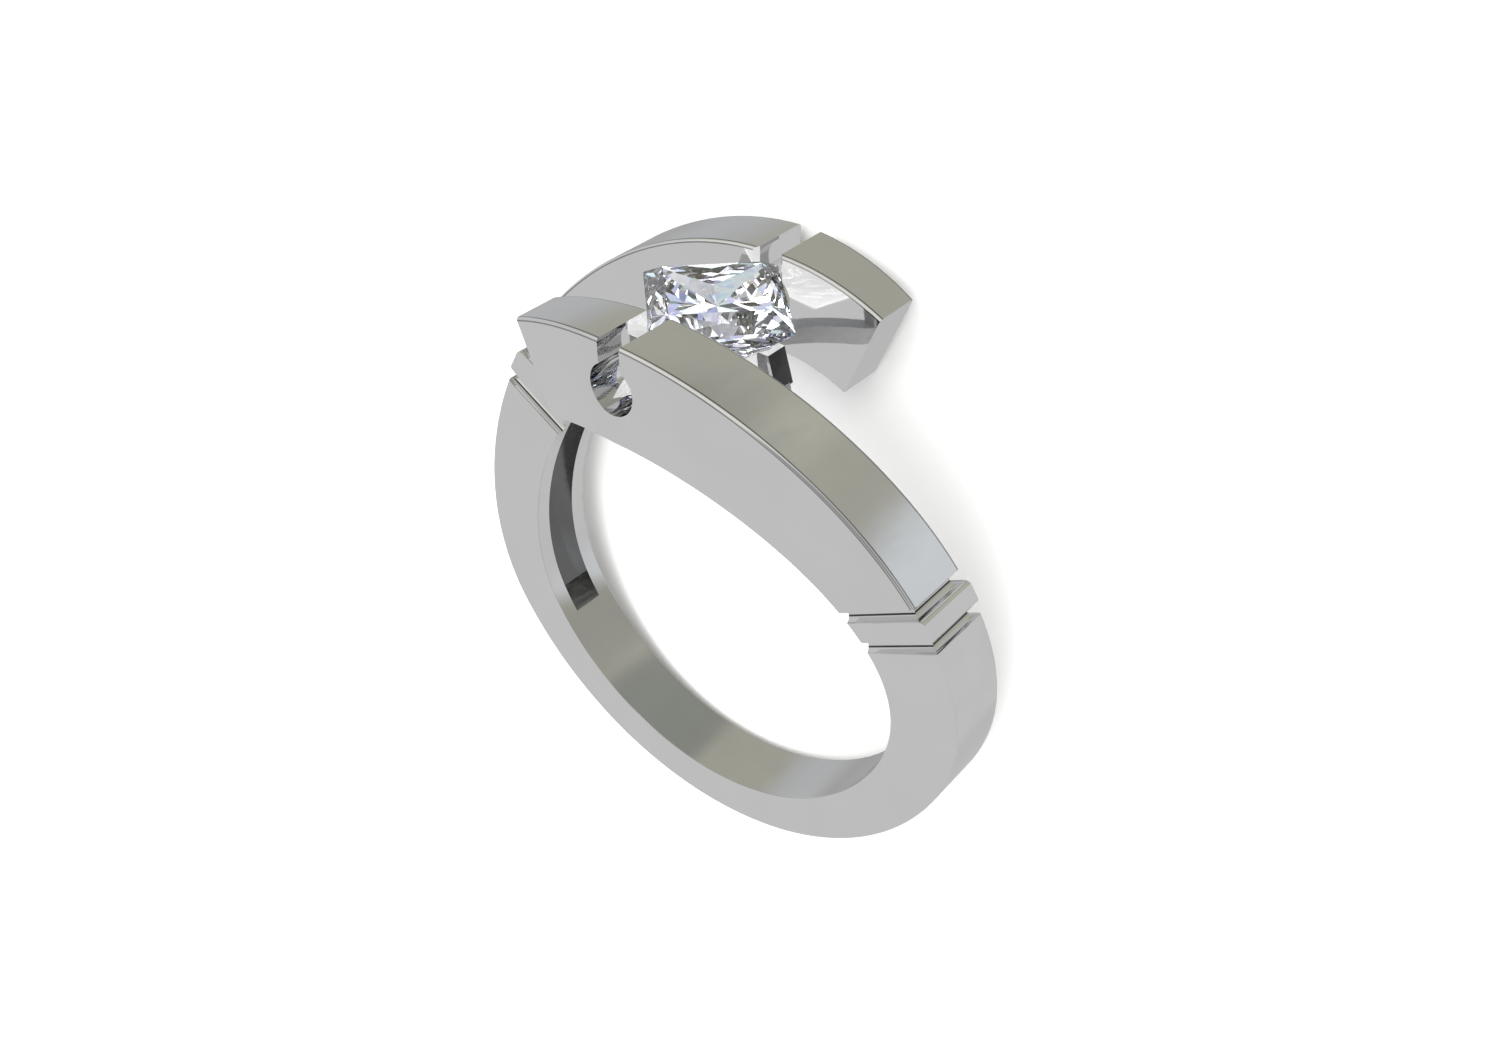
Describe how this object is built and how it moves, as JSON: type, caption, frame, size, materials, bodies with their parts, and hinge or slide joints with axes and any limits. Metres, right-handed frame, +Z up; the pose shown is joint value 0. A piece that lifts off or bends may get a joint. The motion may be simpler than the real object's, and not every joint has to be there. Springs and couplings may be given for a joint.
{
  "type": "twist ring",
  "caption": "Plain white-metal finger ring whose two arms swing past each other and hold a square cut stone by its corners.",
  "frame": {"origin": "under the middle of the ring's box, on the surface that it lies on", "axes": "+Z up, the ring lying on its side; the stone's side points to -Y and the bottom of the band to +Y; X runs across the ring"},
  "size_m": [0.0214, 0.0222, 0.0099],
  "materials": {
    "white_metal": "polished cast white gold",
    "clear_stone": "cut and polished clear stone"
  },
  "bodies": {
    "root": {"band": "white_metal", "stone": "clear_stone"}
  },
  "joints": []
}
